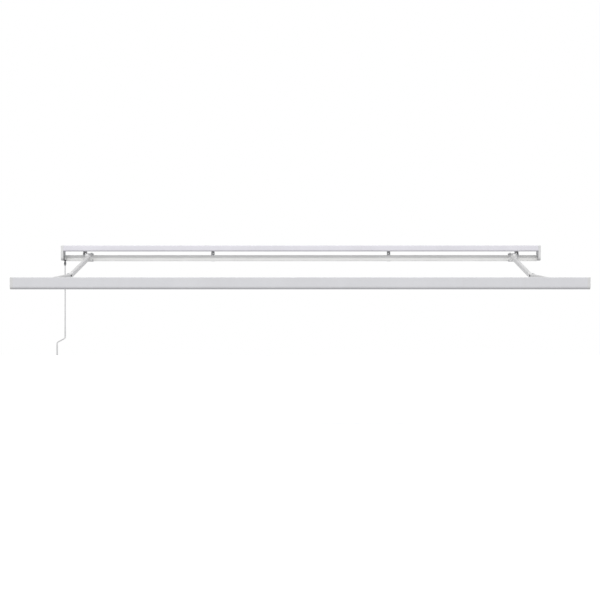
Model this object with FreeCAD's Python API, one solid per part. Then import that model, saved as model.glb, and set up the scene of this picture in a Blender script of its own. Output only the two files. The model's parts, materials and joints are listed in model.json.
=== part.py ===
import FreeCAD, Part
import math
import os

# Folding-arm awning frame: wall brackets on a rectangular torsion bar, a hood over the fabric roller,
# two sprung folding arms, a front bar and a hand crank that drives the roller through a worm gearbox.
# Millimetres.  X runs along the awning, the wall is the plane Y = 0, the front is towards -Y, +Z is up.
# The origin is the centre of the wall bolt pattern of the two inner brackets.

V = FreeCAD.Vector

# ---------------------------------------------------------------- driving dimensions
WIDTH = 6000.0            # over the side covers
FRONT_WIDTH = 6010.0      # over the front bar's end caps
BAR_H, BAR_D, BAR_T = 73.0, 50.0, 2.5   # torsion bar: height, depth, wall
BAR_Y = -45.0             # its centre from the wall
BAR_Z = -92.5             # height datum, below the bolt pattern's centre
BAR_UP = 3.5              # torsion bar's centre above the datum
BAR_HALF = 2970.0
BOLT_DZ = 55.0            # vertical pitch of the wall bolts
BOLT_R = 5.5
IN_X, OUT_X = 1107.0, 2720.0            # wall bracket centres
IN_W, OUT_W = 40.0, 46.0                # wall bracket widths
HOOD_FRONT, HOOD_REAR = -185.0, -15.0
HOOD_TOP, HOOD_LIP = 158.0, 84.0        # above the datum
HOOD_T = 2.2
COVER_W = 30.0
COVER_BOTTOM = -28.0
ROLL_Y, ROLL_Z, ROLL_R = -105.0, 120.5, 32.0
WORM_X = -2956.0
GEAR_M, GEAR_N, WORM_RP = 2.5, 11, 8.0  # module, wheel teeth, worm pitch radius
WORM_Y = ROLL_Y - GEAR_M * GEAR_N / 2 - WORM_RP
EYE_Z = -58.0             # crank pivot, from the datum
PIV_X, PIV_Y, PIV_Z = 2676.0, -146.0, 9.2   # shoulder pivot
TILT_Y, TILT_Z = -88.0, -24.0           # tilt bolt
ARM_SLOPE = math.radians(6.60)
ARM_L = 1467.0            # shoulder to elbow, and elbow to wrist
ELBOW_IN = 8.0            # elbow stands this far inside the line from shoulder to wrist
ELBOW_DROP = 85.0         # elbow below that line, square to the arm plane
UP_IN, FO_IN = 24.0, 20.0  # tube centre lines inside the pivot line
UP_W, UP_H, UP_T = 40.0, 56.0, 1.8      # upper arm tube
FO_W, FO_H, FO_T = 32.0, 50.0, 1.8      # forearm tube
FB_FRONT, FB_D = -3185.0, 62.0
FB_TOP, FB_BOTTOM = -289.0, -413.0      # from the datum
FB_T = 1.8
CAP_W = 30.0
LEVEL_OUT = 48.0          # levelling bolt in front of the wrist pin
RUN = 0.05                # radial running clearance of pins

os.makedirs("parts", exist_ok=True)


# ---------------------------------------------------------------- helpers
def zt(z):
    return z + BAR_Z


def box(x0, x1, y0, y1, z0, z1):
    x0, x1 = min(x0, x1), max(x0, x1)
    y0, y1 = min(y0, y1), max(y0, y1)
    z0, z1 = min(z0, z1), max(z0, z1)
    return Part.makeBox(x1 - x0, y1 - y0, z1 - z0, V(x0, y0, z0))


def cyl(p, d, r, length):
    return Part.makeCylinder(r, length, V(*p), V(*d))


def fuse(*s):
    out = s[0]
    for t in s[1:]:
        out = out.fuse(t)
    return out.removeSplitter()


def cut(s, *tools):
    for t in tools:
        s = s.cut(t)
    return s


def loop(points):
    """A closed wire from [(u, v, radius)], with each corner rounded by its radius, in the XY plane."""
    n = len(points)
    edges, first, last = [], None, None
    for i in range(n):
        p0, p1, p2 = (V(points[j % n][0], points[j % n][1], 0) for j in (i - 1, i, i + 1))
        r = points[i][2] if len(points[i]) > 2 else 0
        if r > 0:
            a, b = (p0 - p1).normalize(), (p2 - p1).normalize()
            half = math.acos(max(-1, min(1, a.dot(b)))) / 2
            t = r / math.tan(half)
            s, e = p1 + a * t, p1 + b * t
            c = p1 + (a + b).normalize() * (r / math.sin(half))
            m = c + (p1 - c).normalize() * r
        else:
            s = e = p1
        if last is not None and (s - last).Length > 1e-6:
            edges.append(Part.LineSegment(last, s).toShape())
        if r > 0:
            edges.append(Part.Arc(s, m, e).toShape())
        if first is None:
            first = s
        last = e
    if (first - last).Length > 1e-6:
        edges.append(Part.LineSegment(last, first).toShape())
    return Part.Wire(edges)


def prism(points, w0, w1, u, v, w):
    """The outline [(a, b, radius)] drawn on axes u and v, extruded along w from w0 to w1."""
    u, v, w = V(*u), V(*v), V(*w)
    f = Part.Face(loop(points))
    f.translate(V(0, 0, w0))
    s = f.extrude(V(0, 0, w1 - w0))
    return moved(s, V(0, 0, 0), u, v, w)


def moved(s, o, u, v, w):
    s = s.copy()
    m = FreeCAD.Matrix(u.x, v.x, w.x, o.x, u.y, v.y, w.y, o.y, u.z, v.z, w.z, o.z, 0, 0, 0, 1)
    s.Placement = FreeCAD.Placement(m).multiply(s.Placement)
    return s


def along_x(points_yz, x0, x1):
    """An outline in Y and Z (Z from the torsion bar's centre), extruded along X."""
    return prism([(p[0], zt(p[1])) + tuple(p[2:]) for p in points_yz], x0, x1, (0, 1, 0), (0, 0, 1), (1, 0, 0))


def rect(y0, y1, z0, z1, r=0.0):
    return [(y0, z0, r), (y1, z0, r), (y1, z1, r), (y0, z1, r)]


def mirror(s):
    return s.mirror(V(0, 0, 0), V(1, 0, 0))


def both(s):
    return [s, mirror(s)]


def hexagon(p, d, across, height):
    """A hexagon head on p, standing out along d."""
    r = across / math.sqrt(3)
    d = V(*d)
    u = V(0, 0, 1) if abs(d.z) < 0.9 else V(1, 0, 0)
    u = (u - d * u.dot(d)).normalize()
    w = d.cross(u)
    pts = [V(*p) + u * (r * math.cos(math.pi / 3 * k)) + w * (r * math.sin(math.pi / 3 * k)) for k in range(6)]
    return Part.Face(Part.makePolygon(pts + [pts[0]])).extrude(d * height)


def bolt(p, d, r, length, across, height):
    """Hexagon bolt: the head's underside at p, the shank runs along -d."""
    d = V(*d)
    shank = Part.makeCylinder(r, length, V(*p), d * -1)
    return fuse(hexagon(p, (d.x, d.y, d.z), across, height), shank)


def save(name, shapes):
    if not isinstance(shapes, (list, tuple)):
        shapes = [shapes]
    solids = []
    for s in shapes:
        solids += s.Solids
    for s in solids:
        if not s.isValid() or s.Volume <= 0:
            print("CHECK", name, s.isValid(), s.Volume)
    shape = solids[0] if len(solids) == 1 else Part.Compound(solids)
    shape.exportStep("parts/%s.step" % name)
    b = shape.BoundBox
    print("%-24s %2d solid  X %.1f..%.1f  Y %.1f..%.1f  Z %.1f..%.1f" % (name, len(solids), b.XMin, b.XMax, b.YMin, b.YMax, b.ZMin, b.ZMax))


# ---------------------------------------------------------------- torsion bar and wall brackets
y0, y1 = BAR_Y - BAR_D / 2, BAR_Y + BAR_D / 2
h = BAR_H / 2
HB, HT = BAR_UP - h, BAR_UP + h
outer = along_x(rect(y0, y1, HB, HT, 5.0), -BAR_HALF, BAR_HALF)
inner = along_x(rect(y0 + BAR_T, y1 - BAR_T, HB + BAR_T, HT - BAR_T, 2.5), -BAR_HALF - 5, BAR_HALF + 5)
save("torsion_bar", outer.cut(inner))

HOLE_Z = (-BAR_Z - BOLT_DZ / 2, -BAR_Z + BOLT_DZ / 2)    # wall bolts, from the torsion bar's centre


def wall_bracket(x, w, lip):
    a, b = x - w / 2, x + w / 2
    g = 0.2
    back = along_x(rect(0, -8, HB - 3.4, 150, 0), a, b)
    foot = along_x(rect(-4, -68, HB - 3.4, HB - g, 1.2), a, b)
    rear = along_x(rect(-4, y1 + g, HB - 3.4, HT + g, 0), a, b)
    hook = along_x([(-4, HT + g, 0), (y0 - g, HT + g, 0), (y0 - g, lip, 0), (-76, lip, 1.5), (-76, 47, 4), (-4, 47, 0)], a, b)
    arm = along_x([(-4, 141, 0), (-62, 141, 2), (-62, 150, 2), (-4, 150, 0)], a, b)
    cheek = [(-4, 40, 0), (-66, 40, 0), (-40, 80, 14), (-36, 118, 14), (-58, 145, 0), (-4, 145, 0)]
    s = fuse(back, foot, rear, hook, arm, along_x(cheek, a, a + 5), along_x(cheek, b - 5, b))
    for z in HOLE_Z:
        s = s.cut(cyl((x, 1, zt(z)), (0, -1, 0), BOLT_R, 12))
    s = s.cut(cyl((x, -52, zt(HT - 1)), (0, 0, 1), 4 + RUN, 16))       # lock bolt
    s = s.cut(cyl((x, -50, zt(139)), (0, 0, 1), 3 + RUN, 14))         # hood screw
    return s


brackets = [wall_bracket(x, w, lip) for x, w, lip in ((-OUT_X, OUT_W, -10), (-IN_X, IN_W, 30), (IN_X, IN_W, 30), (OUT_X, OUT_W, -10))]
save("wall_brackets", brackets)
BR_X = (-OUT_X, -IN_X, IN_X, OUT_X)
save("bracket_lock_bolts", [bolt((x, -52, zt(47)), (0, 0, 1), 4, 47 - HT, 13, 6) for x in BR_X])

# ---------------------------------------------------------------- hood
F, R, T = HOOD_FRONT, HOOD_REAR, HOOD_T
hood_x = WIDTH / 2 - COVER_W - 0.2
hood = along_x([(F, HOOD_LIP, 20), (F, HOOD_TOP, 9), (R, HOOD_TOP, 3), (R, 150.4, 0), (R - T, 150.4, 0), (R - T, HOOD_TOP - T, 1),
                (F + T, HOOD_TOP - T, 7), (F + T, HOOD_LIP + T, 17.8), (F + 28, HOOD_LIP + T, 0), (F + 28, HOOD_LIP, 0)], -hood_x, hood_x)
seat = along_x([(-62, HOOD_TOP - T - 0.01, 0), (-62, 150.2, 0), (-38, 150.2, 0), (-38, HOOD_TOP - T - 0.01, 0)], -hood_x, hood_x)
seat = seat.cut(along_x(rect(-59.5, -53.5, 140, HOOD_TOP - T - 1.5, 0), -hood_x - 1, hood_x + 1)).cut(
    along_x(rect(-46.5, -40.5, 140, HOOD_TOP - T - 1.5, 0), -hood_x - 1, hood_x + 1))
seat2 = along_x([(-62, HOOD_TOP - T - 0.01, 0), (-62, HOOD_TOP - 0.5, 0), (-38, HOOD_TOP - 0.5, 0), (-38, HOOD_TOP - T - 0.01, 0)], -hood_x, hood_x)
hood = fuse(hood, seat, seat2)
for x in BR_X:
    hood = hood.cut(cyl((x, -50, zt(148)), (0, 0, 1), 3 + RUN, 14))
    hood = hood.cut(cyl((x, -50, zt(HOOD_TOP - 0.6)), (0, 0, 1), 6.2, 5))
save("hood", hood)
save("hood_screws", [fuse(cyl((x, -50, zt(HOOD_TOP - 0.6)), (0, 0, 1), 6, 2.2), cyl((x, -50, zt(137)), (0, 0, 1), 3, HOOD_TOP - 137)) for x in BR_X])

# ---------------------------------------------------------------- side covers and end plates
cx = WIDTH / 2


def cover_outline(i):
    """The side cover's outline, moved inwards by i."""
    return [(F + i, HOOD_TOP - i, max(9 - i, 0.5)), (R - i, HOOD_TOP - i, max(5 - i, 0.5)),
            (R - i, COVER_BOTTOM + i, max(10 - i, 0.5)), (F + i, COVER_BOTTOM + i, max(40 - i, 0.5))]


PLATE_HOLES = [(F + 17, HOOD_TOP - 17), (R - 15, HOOD_TOP - 17), (R - 17, 62.0), (F + 48, COVER_BOTTOM + 20)]


PX0, PX1 = cx - COVER_W + 0.2, cx - COVER_W + 4.2       # end plate, recessed in the side cover


def side_cover(sign):
    s = along_x(cover_outline(0), cx - COVER_W, cx)
    s = s.cut(along_x(cover_outline(3), cx - COVER_W - 1, cx - 3))
    for yy, zz in PLATE_HOLES:
        s = fuse(s, cyl((PX1 + 0.1, yy, zt(zz)), (1, 0, 0), 6, COVER_W - 6))
        s = s.cut(cyl((cx - COVER_W - 1, yy, zt(zz)), (1, 0, 0), 2.5 + RUN, 20))
    s = s.cut(box(cx - COVER_W - 1, PX0 + 0.1, y0 + BAR_T, y1 - BAR_T, zt(-40), zt(-20)))
    return s if sign > 0 else mirror(s)


save("side_cover_left", side_cover(-1))
save("side_cover_right", side_cover(1))


def end_plate(left):
    s = along_x(cover_outline(3.2), PX0, PX1)
    for yy, zz in PLATE_HOLES:
        s = s.cut(cyl((PX0 - 1, yy, zt(zz)), (1, 0, 0), 2.5 + RUN, 8))
    # seat for the torsion bar's end, welded on the real frame: a shallow socket boss inside the bar
    boss = along_x(rect(y0 + BAR_T + 0.2, y1 - BAR_T - 0.2, HB + BAR_T + 0.2, HT - BAR_T - 0.2, 2.3), BAR_HALF - 25, PX0)
    boss = boss.cut(along_x(rect(y0 + BAR_T + 4.2, y1 - BAR_T - 4.2, HB + BAR_T + 4.2, HT - BAR_T - 4.2, 1), BAR_HALF - 30, PX0 - 2.2))
    s = fuse(s, boss)
    if not left:
        return s
    return mirror(s)


left_plate = end_plate(True)
GEAR_SCREWS = [(-150.0, 96.0), (-150.0, 146.0), (-84.0, 96.0), (-84.0, 146.0)]
BEAR_SCREWS = [(-105.0, 96.5), (-105.0, 144.5)]
for yy, zz in GEAR_SCREWS:
    left_plate = left_plate.cut(cyl((-PX0 + 1, yy, zt(zz)), (-1, 0, 0), 2 + RUN, 8))
right_plate = end_plate(False)
for yy, zz in BEAR_SCREWS:
    right_plate = right_plate.cut(cyl((PX0 - 1, yy, zt(zz)), (1, 0, 0), 2 + RUN, 8))
save("end_plates", [left_plate, right_plate])
screws = []
for yy, zz in PLATE_HOLES:
    s = fuse(cyl((PX0 - 2.5, yy, zt(zz)), (1, 0, 0), 4.5, 2.5), cyl((PX0 - 1, yy, zt(zz)), (1, 0, 0), 2.5, 19))
    screws += both(s)
save("side_cover_screws", screws)

# ---------------------------------------------------------------- gearbox, roller and its bearing
GX0, GX1 = -PX0 + 0.0, -2936.0            # housing from the left end plate inwards; the cover closes it
WHEEL_R = GEAR_M * GEAR_N / 2
G_OUT = rect(-156, -78, 90.5, 151.5, 7)
housing = along_x(G_OUT, GX0, GX1)
cav_w = cyl((WORM_X - 9, ROLL_Y, zt(ROLL_Z)), (1, 0, 0), WHEEL_R + GEAR_M + 1.6, 60)
cav_s = cyl((WORM_X, WORM_Y, zt(102.5)), (0, 0, 1), WORM_RP + GEAR_M + 1.2, 36)
throat = box(WORM_X - 9, WORM_X + 9, WORM_Y, ROLL_Y, zt(105), zt(136))
bush = cyl((WORM_X, WORM_Y, zt(80)), (0, 0, 1), 6 + RUN, 30)
top_j = cyl((WORM_X, WORM_Y, zt(136)), (0, 0, 1), 5 + RUN, 11.5)
housing = cut(housing, cav_w, cav_s, throat, bush, top_j)
access = box(WORM_X, GX1 + 1, WORM_Y - WORM_RP - GEAR_M - 1.2, WORM_Y + WORM_RP + GEAR_M + 1.2, zt(102.5), zt(138.5))
housing = housing.cut(access)
for yy, zz in GEAR_SCREWS:
    housing = housing.cut(cyl((GX0 - 1, yy, zt(zz)), (1, 0, 0), 2 + RUN, 60))
save("gearbox_housing", housing)
cover = along_x(G_OUT, GX1 + 0.0, GX1 + 4)
cover = cover.cut(cyl((GX1 - 1, ROLL_Y, zt(ROLL_Z)), (1, 0, 0), 10 + RUN, 8))
for yy, zz in GEAR_SCREWS:
    cover = cover.cut(cyl((GX1 - 1, yy, zt(zz)), (1, 0, 0), 2 + RUN, 8))
save("gearbox_cover", cover)
save("gearbox_screws", [fuse(cyl((GX1 + 4, yy, zt(zz)), (1, 0, 0), 3.6, 2.5), cyl((GX0 - 3.5, yy, zt(zz)), (1, 0, 0), 2, GX1 + 4 - GX0 + 4)) for yy, zz in GEAR_SCREWS])

# worm wheel: eleven thin teeth on a hub
WX = WORM_X
wheel = cyl((WX - 6, ROLL_Y, zt(ROLL_Z)), (1, 0, 0), WHEEL_R - GEAR_M * 1.1, 12)
wheel = fuse(wheel, cyl((WX + 5, ROLL_Y, zt(ROLL_Z)), (1, 0, 0), 10, GX1 + 9 - WX - 5))
for k in range(GEAR_N):
    ang = 360.0 / GEAR_N * (k + 0.5) + 180.0
    t = box(WX - 5, WX + 5, -WHEEL_R - GEAR_M * 0.85, -WHEEL_R + GEAR_M * 1.6, -0.9, 0.9)
    t.rotate(V(0, 0, 0), V(1, 0, 0), ang)
    t.translate(V(0, ROLL_Y, zt(ROLL_Z)))
    wheel = wheel.fuse(t)
wheel = wheel.removeSplitter()
wheel = wheel.cut(box(WX + 2, GX1 + 10, ROLL_Y - 4.05, ROLL_Y + 4.05, zt(ROLL_Z) - 4.05, zt(ROLL_Z) + 4.05))
save("worm_wheel", wheel)

# worm shaft: journals, a core and a right-hand thread
PITCH = math.pi * GEAR_M
w0, w1 = 108.0, 133.0
shaft = cyl((WX, WORM_Y, zt(136)), (0, 0, 1), 5, 10.5)
shaft = shaft.fuse(cyl((WX, WORM_Y, zt(103)), (0, 0, 1), WORM_RP - GEAR_M * 1.1, 33))
shaft = shaft.fuse(cyl((WX, WORM_Y, zt(-22)), (0, 0, 1), 6, 126))
turns = (w1 - w0) / PITCH
steps = 16
nseg = int(turns * steps)
ri, ro = WORM_RP - GEAR_M * 1.1 - 0.6, WORM_RP + GEAR_M * 0.85
zc = ROLL_Z - 2 * PITCH      # the thread stands half a pitch from the wheel's tooth
for k in range(nseg):
    a0, a1 = 2 * math.pi * k / steps, 2 * math.pi * (k + 1) / steps

    def pt(a, r, dz):
        return V(WX + r * math.cos(a - math.pi / 2), WORM_Y + r * math.sin(a - math.pi / 2), zt(zc + PITCH * a / 2 / math.pi + dz))
    rings = []
    for a in (a0, a1 + 0.02):
        rings.append([pt(a, ri, -1.3), pt(a, ro, -0.7), pt(a, ro, 0.7), pt(a, ri, 1.3)])
    lo = Part.makePolygon(rings[0] + [rings[0][0]])
    hi = Part.makePolygon(rings[1] + [rings[1][0]])
    seg = Part.makeLoft([lo, hi], True, True)
    shaft = shaft.fuse(seg)
EY = WORM_Y
eye = fuse(cyl((WX, EY, zt(-40)), (0, 0, 1), 13, 17.9), cyl((WX - 6, EY, zt(EYE_Z)), (1, 0, 0), 15, 12),
           box(WX - 6, WX + 6, EY - 11, EY + 11, zt(EYE_Z), zt(-38)))
eye = eye.cut(cyl((WX - 20, EY, zt(EYE_Z)), (1, 0, 0), 5 + RUN, 40))
eye = eye.cut(cyl((WX, EY, zt(-36)), (0, 0, 1), 3 + RUN, 20))
shaft_tail = cyl((WX, EY, zt(-35)), (0, 0, 1), 3, 13)
eye = eye.cut(cyl((WX, EY, zt(-35)), (0, 0, 1), 3 + RUN, 14))
save("worm_shaft", shaft.fuse(shaft_tail))
save("drive_eye", eye)

# roller: tube with an inward groove for the fabric's edge cord
RX0, RX1 = GX1 + 14.0, PX0 - 26.0
tube = cyl((RX0, ROLL_Y, zt(ROLL_Z)), (1, 0, 0), ROLL_R, RX1 - RX0)
tube = tube.cut(cyl((RX0 - 1, ROLL_Y, zt(ROLL_Z)), (1, 0, 0), ROLL_R - 1.8, RX1 - RX0 + 2))
pod = cyl((RX0, ROLL_Y, zt(ROLL_Z) + ROLL_R - 6.6), (1, 0, 0), 6, RX1 - RX0).common(cyl((RX0, ROLL_Y, zt(ROLL_Z)), (1, 0, 0), ROLL_R - 0.5, RX1 - RX0))
tube = tube.fuse(pod)
tube = tube.cut(cyl((RX0 - 1, ROLL_Y, zt(ROLL_Z) + ROLL_R - 6.6), (1, 0, 0), 4.2, RX1 - RX0 + 2))
tube = tube.cut(box(RX0 - 1, RX1 + 1, ROLL_Y - 1.6, ROLL_Y + 1.6, zt(ROLL_Z) + ROLL_R - 6, zt(ROLL_Z) + ROLL_R + 3))
save("roller_tube", tube)


def plug(xa, xb):
    s = cyl((xa, ROLL_Y, zt(ROLL_Z)), (1, 0, 0), ROLL_R - 2.0, xb - xa)
    return s.cut(cyl((xa - 1, ROLL_Y, zt(ROLL_Z) + ROLL_R - 6.6), (1, 0, 0), 6.4, xb - xa + 2)).cut(
        box(xa - 1, xb + 1, ROLL_Y - 6.6, ROLL_Y + 6.6, zt(ROLL_Z) + ROLL_R - 7, zt(ROLL_Z) + ROLL_R + 3))


drive_plug = fuse(plug(RX0, RX0 + 45), cyl((RX0 - 3, ROLL_Y, zt(ROLL_Z)), (1, 0, 0), 20, 3),
                  box(WX + 3, RX0, ROLL_Y - 4, ROLL_Y + 4, zt(ROLL_Z) - 4, zt(ROLL_Z) + 4))
idle_plug = fuse(plug(RX1 - 45, RX1), cyl((RX1, ROLL_Y, zt(ROLL_Z)), (1, 0, 0), 18, 2), cyl((RX1, ROLL_Y, zt(ROLL_Z)), (1, 0, 0), 9, 22))
save("roller_end_plugs", [drive_plug, idle_plug])
bearing = fuse(along_x(rect(-125, -85, 90.5, 150.5, 8), PX0 - 6, PX0), cyl((PX0 - 19, ROLL_Y, zt(ROLL_Z)), (1, 0, 0), 15, 14))
bearing = bearing.cut(cyl((PX0 - 21, ROLL_Y, zt(ROLL_Z)), (1, 0, 0), 9 + RUN, 19.5))
for yy, zz in BEAR_SCREWS:
    bearing = bearing.cut(cyl((PX0 - 8, yy, zt(zz)), (1, 0, 0), 2 + RUN, 10))
save("roller_bearing", bearing)

# ---------------------------------------------------------------- crank
clev = []
for sx in (-1, 1):
    ear = fuse(cyl((WX + sx * 6.3, EY, zt(EYE_Z)), (sx, 0, 0), 10, 6), box(WX + sx * 6.3, WX + sx * 12.3, EY - 9, EY + 9, zt(EYE_Z - 24), zt(EYE_Z)))
    clev.append(ear)
hook = fuse(clev[0], clev[1], box(WX - 12.3, WX + 12.3, EY - 9, EY + 9, zt(EYE_Z - 28), zt(EYE_Z - 17)), cyl((WX, EY, zt(EYE_Z - 33)), (0, 0, 1), 10.5, 7))
hook = hook.cut(cyl((WX - 20, EY, zt(EYE_Z)), (1, 0, 0), 5 + RUN, 40))
hook = hook.cut(cyl((WX, EY, zt(EYE_Z - 60)), (0, 0, 1), 8 + RUN, 37))
save("crank_hook", hook)
save("crank_pin", fuse(cyl((WX - 12.3, EY, zt(EYE_Z)), (1, 0, 0), 5, 24.6), cyl((WX - 14.5, EY, zt(EYE_Z)), (1, 0, 0), 7, 2.2), cyl((WX + 12.3, EY, zt(EYE_Z)), (1, 0, 0), 7, 2.2)))
ROD = 8.0
HX = WX - 101.0
zb1, zb2, zend = -1001.0, -1056.0, -1208.0


def arc_path(points, radii):
    """Straight runs joined by tangent arcs."""
    edges, last = [], V(*points[0])
    for i in range(1, len(points) - 1):
        p0, p1, p2 = V(*points[i - 1]), V(*points[i]), V(*points[i + 1])
        a, b = (p0 - p1).normalize(), (p2 - p1).normalize()
        half = math.acos(a.dot(b)) / 2
        r = radii[i - 1]
        t = r / math.tan(half)
        s, e = p1 + a * t, p1 + b * t
        c = p1 + (a + b).normalize() * (r / math.sin(half))
        m = c + (p1 - c).normalize() * r
        edges += [Part.LineSegment(last, s).toShape(), Part.Arc(s, m, e).toShape()]
        last = e
    edges.append(Part.LineSegment(last, V(*points[-1])).toShape())
    return Part.Wire(edges)


path = arc_path([(WX, EY, zt(EYE_Z - 23)), (WX, EY, zt(zb1)), (HX, EY, zt(zb2)), (HX, EY, zt(zend))], [26, 26])
prof = Part.Wire(Part.makeCircle(ROD, V(WX, EY, zt(EYE_Z - 23)), V(0, 0, -1)))
rod = path.makePipeShell([prof], True, False)
rod = Part.Solid(rod) if rod.ShapeType == "Shell" else rod
print("crank rod volume %.0f, section times length %.0f" % (rod.Volume, math.pi * ROD ** 2 * path.Length))
save("crank_rod", rod)
save("crank_upper_grip", cyl((WX, EY, zt(-980)), (0, 0, 1), 9.8, 115).cut(cyl((WX, EY, zt(-990)), (0, 0, 1), ROD + 0.08, 140)))
save("crank_lower_grip", cyl((HX, EY, zt(-1200)), (0, 0, 1), 10.2, 118).cut(cyl((HX, EY, zt(-1210)), (0, 0, 1), ROD + 0.08, 140)))
save("crank_end_cap", cyl((HX, EY, zt(-1213)), (0, 0, 1), 10.6, 12.6).cut(cyl((HX, EY, zt(-1208.2)), (0, 0, 1), ROD + RUN, 20)))

# ---------------------------------------------------------------- shoulder clamps (right side drawn, then mirrored)
SX0, SX1 = 2613.5, 2694.0
g = 0.2
CH0, CH1 = 2628.3, 2681.7      # inner faces of the cheeks
CLAMP_BOLTS = ((2631.5, 57.5), (2679.5, 55.0))          # across the awning, above the datum
front = along_x(rect(-70 - g, -78, HB, 62, 0), SX0 + 16, SX1)
top = along_x([(-70 - g, HT + g, 0), (-47, HT + g, 0), (-47, 62, 3), (-78, 62, 3), (-78, HT + g, 0)], SX0 + 16, SX1)
side = along_x([(-70 - g, HB, 0), (-70 - g, 42, 0), (-78, 42, 2), (-78, HB, 0)], SX0, SX0 + 17)
top = fuse(top, side, cyl((2631.5, -47, zt(57.5)), (0, -1, 0), 13.5, 31))
clamp = fuse(front, top)
for xa, xb in ((CH0 - 10, CH0), (CH1, CH1 + 10)):
    clamp = fuse(clamp, along_x([(-77, -33, 0), (TILT_Y - 1, -33, 0), (-96.3, TILT_Z - 6, 6), (-96.3, TILT_Z + 8, 7), (-77, 20, 8)], xa, xb))
clamp = clamp.cut(cyl((CH0 - 15, TILT_Y, zt(TILT_Z)), (1, 0, 0), 5 + RUN, 90))
back = along_x([(-12, HB - 6.5, 3), (-79.5, HB - 6.5, 2), (-79.5, HB - g, 0), (-20 + g, HB - g, 0), (-20 + g, HT + g, 0), (-43, HT + g, 0), (-43, 62, 3), (-12, 62, 3)], SX0, SX1)
back = fuse(back, cyl((2631.5, -12, zt(57.5)), (0, -1, 0), 13.5, 31))
clamp_bolts = []
for xx, zz in CLAMP_BOLTS:
    clamp = clamp.cut(cyl((xx, -10, zt(zz)), (0, -1, 0), 5 + RUN, 80))
    back = back.cut(cyl((xx, -10, zt(zz)), (0, -1, 0), 5 + RUN, 80))
    clamp_bolts.append(bolt((xx, -78, zt(zz)), (0, -1, 0), 5, 66.5, 17, 6.4))
for xx in (SX0 + 9, SX1 - 9):          # lower pair, up into the front plate's edge
    clamp = clamp.cut(cyl((xx, -74.2, zt(HB - 7)), (0, 0, 1), 2.5 + RUN, 25))
    back = back.cut(cyl((xx, -74.2, zt(HB - 7)), (0, 0, 1), 2.5 + RUN, 22))
    clamp_bolts.append(bolt((xx, -74.2, zt(HB - 6.5)), (0, 0, -1), 2.5, 22, 8, 3.2))
save("shoulder_clamps", both(clamp))
save("shoulder_clamp_backs", both(back))
save("shoulder_clamp_bolts", [m for s in clamp_bolts for m in both(s)])
tb = fuse(bolt((CH1 + 10, TILT_Y, zt(TILT_Z)), (1, 0, 0), 5, CH1 + 10 - CH0 + 10 + 9, 17, 6.4),
          hexagon((CH0 - 10 - 7.5, TILT_Y, zt(TILT_Z)), (1, 0, 0), 17, 7.5))
save("tilt_bolts", both(tb))

# ---------------------------------------------------------------- arms (left side drawn in link frames, then mirrored)
c6, s6 = math.cos(ARM_SLOPE), math.sin(ARM_SLOPE)
U = V(0, -c6, -s6)           # down the arm plane
N = V(0, -s6, c6)            # along the pins
XI = V(1, 0, 0)              # inwards, for the left arm
S = V(-PIV_X, PIV_Y, zt(PIV_Z))
alpha = math.asin(ELBOW_IN / ARM_L)
AU = U * math.cos(alpha) + XI * math.sin(alpha)
AF = U * math.cos(alpha) - XI * math.sin(alpha)
BU, BF = N.cross(AU), N.cross(AF)
E = S + AU * ARM_L
W = E + AF * ARM_L
EP = E - N * ELBOW_DROP      # middle of the elbow
WL = W + U * LEVEL_OUT       # levelling axis


def link(s, o, a, b):
    return moved(s, o, a, b, N)


def lprism(points, n0, n1):
    f = Part.Face(loop(points))
    f.translate(V(0, 0, n0))
    return f.extrude(V(0, 0, n1 - n0))


def lcyl(a, b, n0, n1, r):
    return Part.makeCylinder(r, n1 - n0, V(a, b, n0), V(0, 0, 1))


END = 40.0
RUNL = ARM_L - 2 * END
beta = math.atan2(ELBOW_DROP, RUNL)
TL = math.hypot(ELBOW_DROP, RUNL)


def sloped(s, down):
    """A solid drawn along the tube (x), across it (y) and up it (z), placed in the link frame."""
    if down:
        o, t, m = V(END, UP_IN, 0), V(math.cos(beta), 0, -math.sin(beta)), V(math.sin(beta), 0, math.cos(beta))
    else:
        o, t, m = V(END, FO_IN, -ELBOW_DROP), V(math.cos(beta), 0, math.sin(beta)), V(-math.sin(beta), 0, math.cos(beta))
    return moved(s, o, t, V(0, 1, 0), m)


def section(w, hh, r, x0, x1):
    return prism([(-w / 2, -hh / 2, r), (w / 2, -hh / 2, r), (w / 2, hh / 2, r), (-w / 2, hh / 2, r)], x0, x1, (0, 1, 0), (0, 0, 1), (1, 0, 0))


def arm_tube(w, hh, t, down):
    return sloped(section(w, hh, 13, 36, TL - 36).cut(section(w - 2 * t, hh - 2 * t, 11.2, 35, TL - 35)), down)


def collar(w, hh, t, x0, x1, sp0, sp1, down):
    return sloped(section(w, hh, 13, x0, x1), down), sloped(section(w - 2 * t - 0.2, hh - 2 * t - 0.2, 11.1, sp0, sp1), down)


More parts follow.
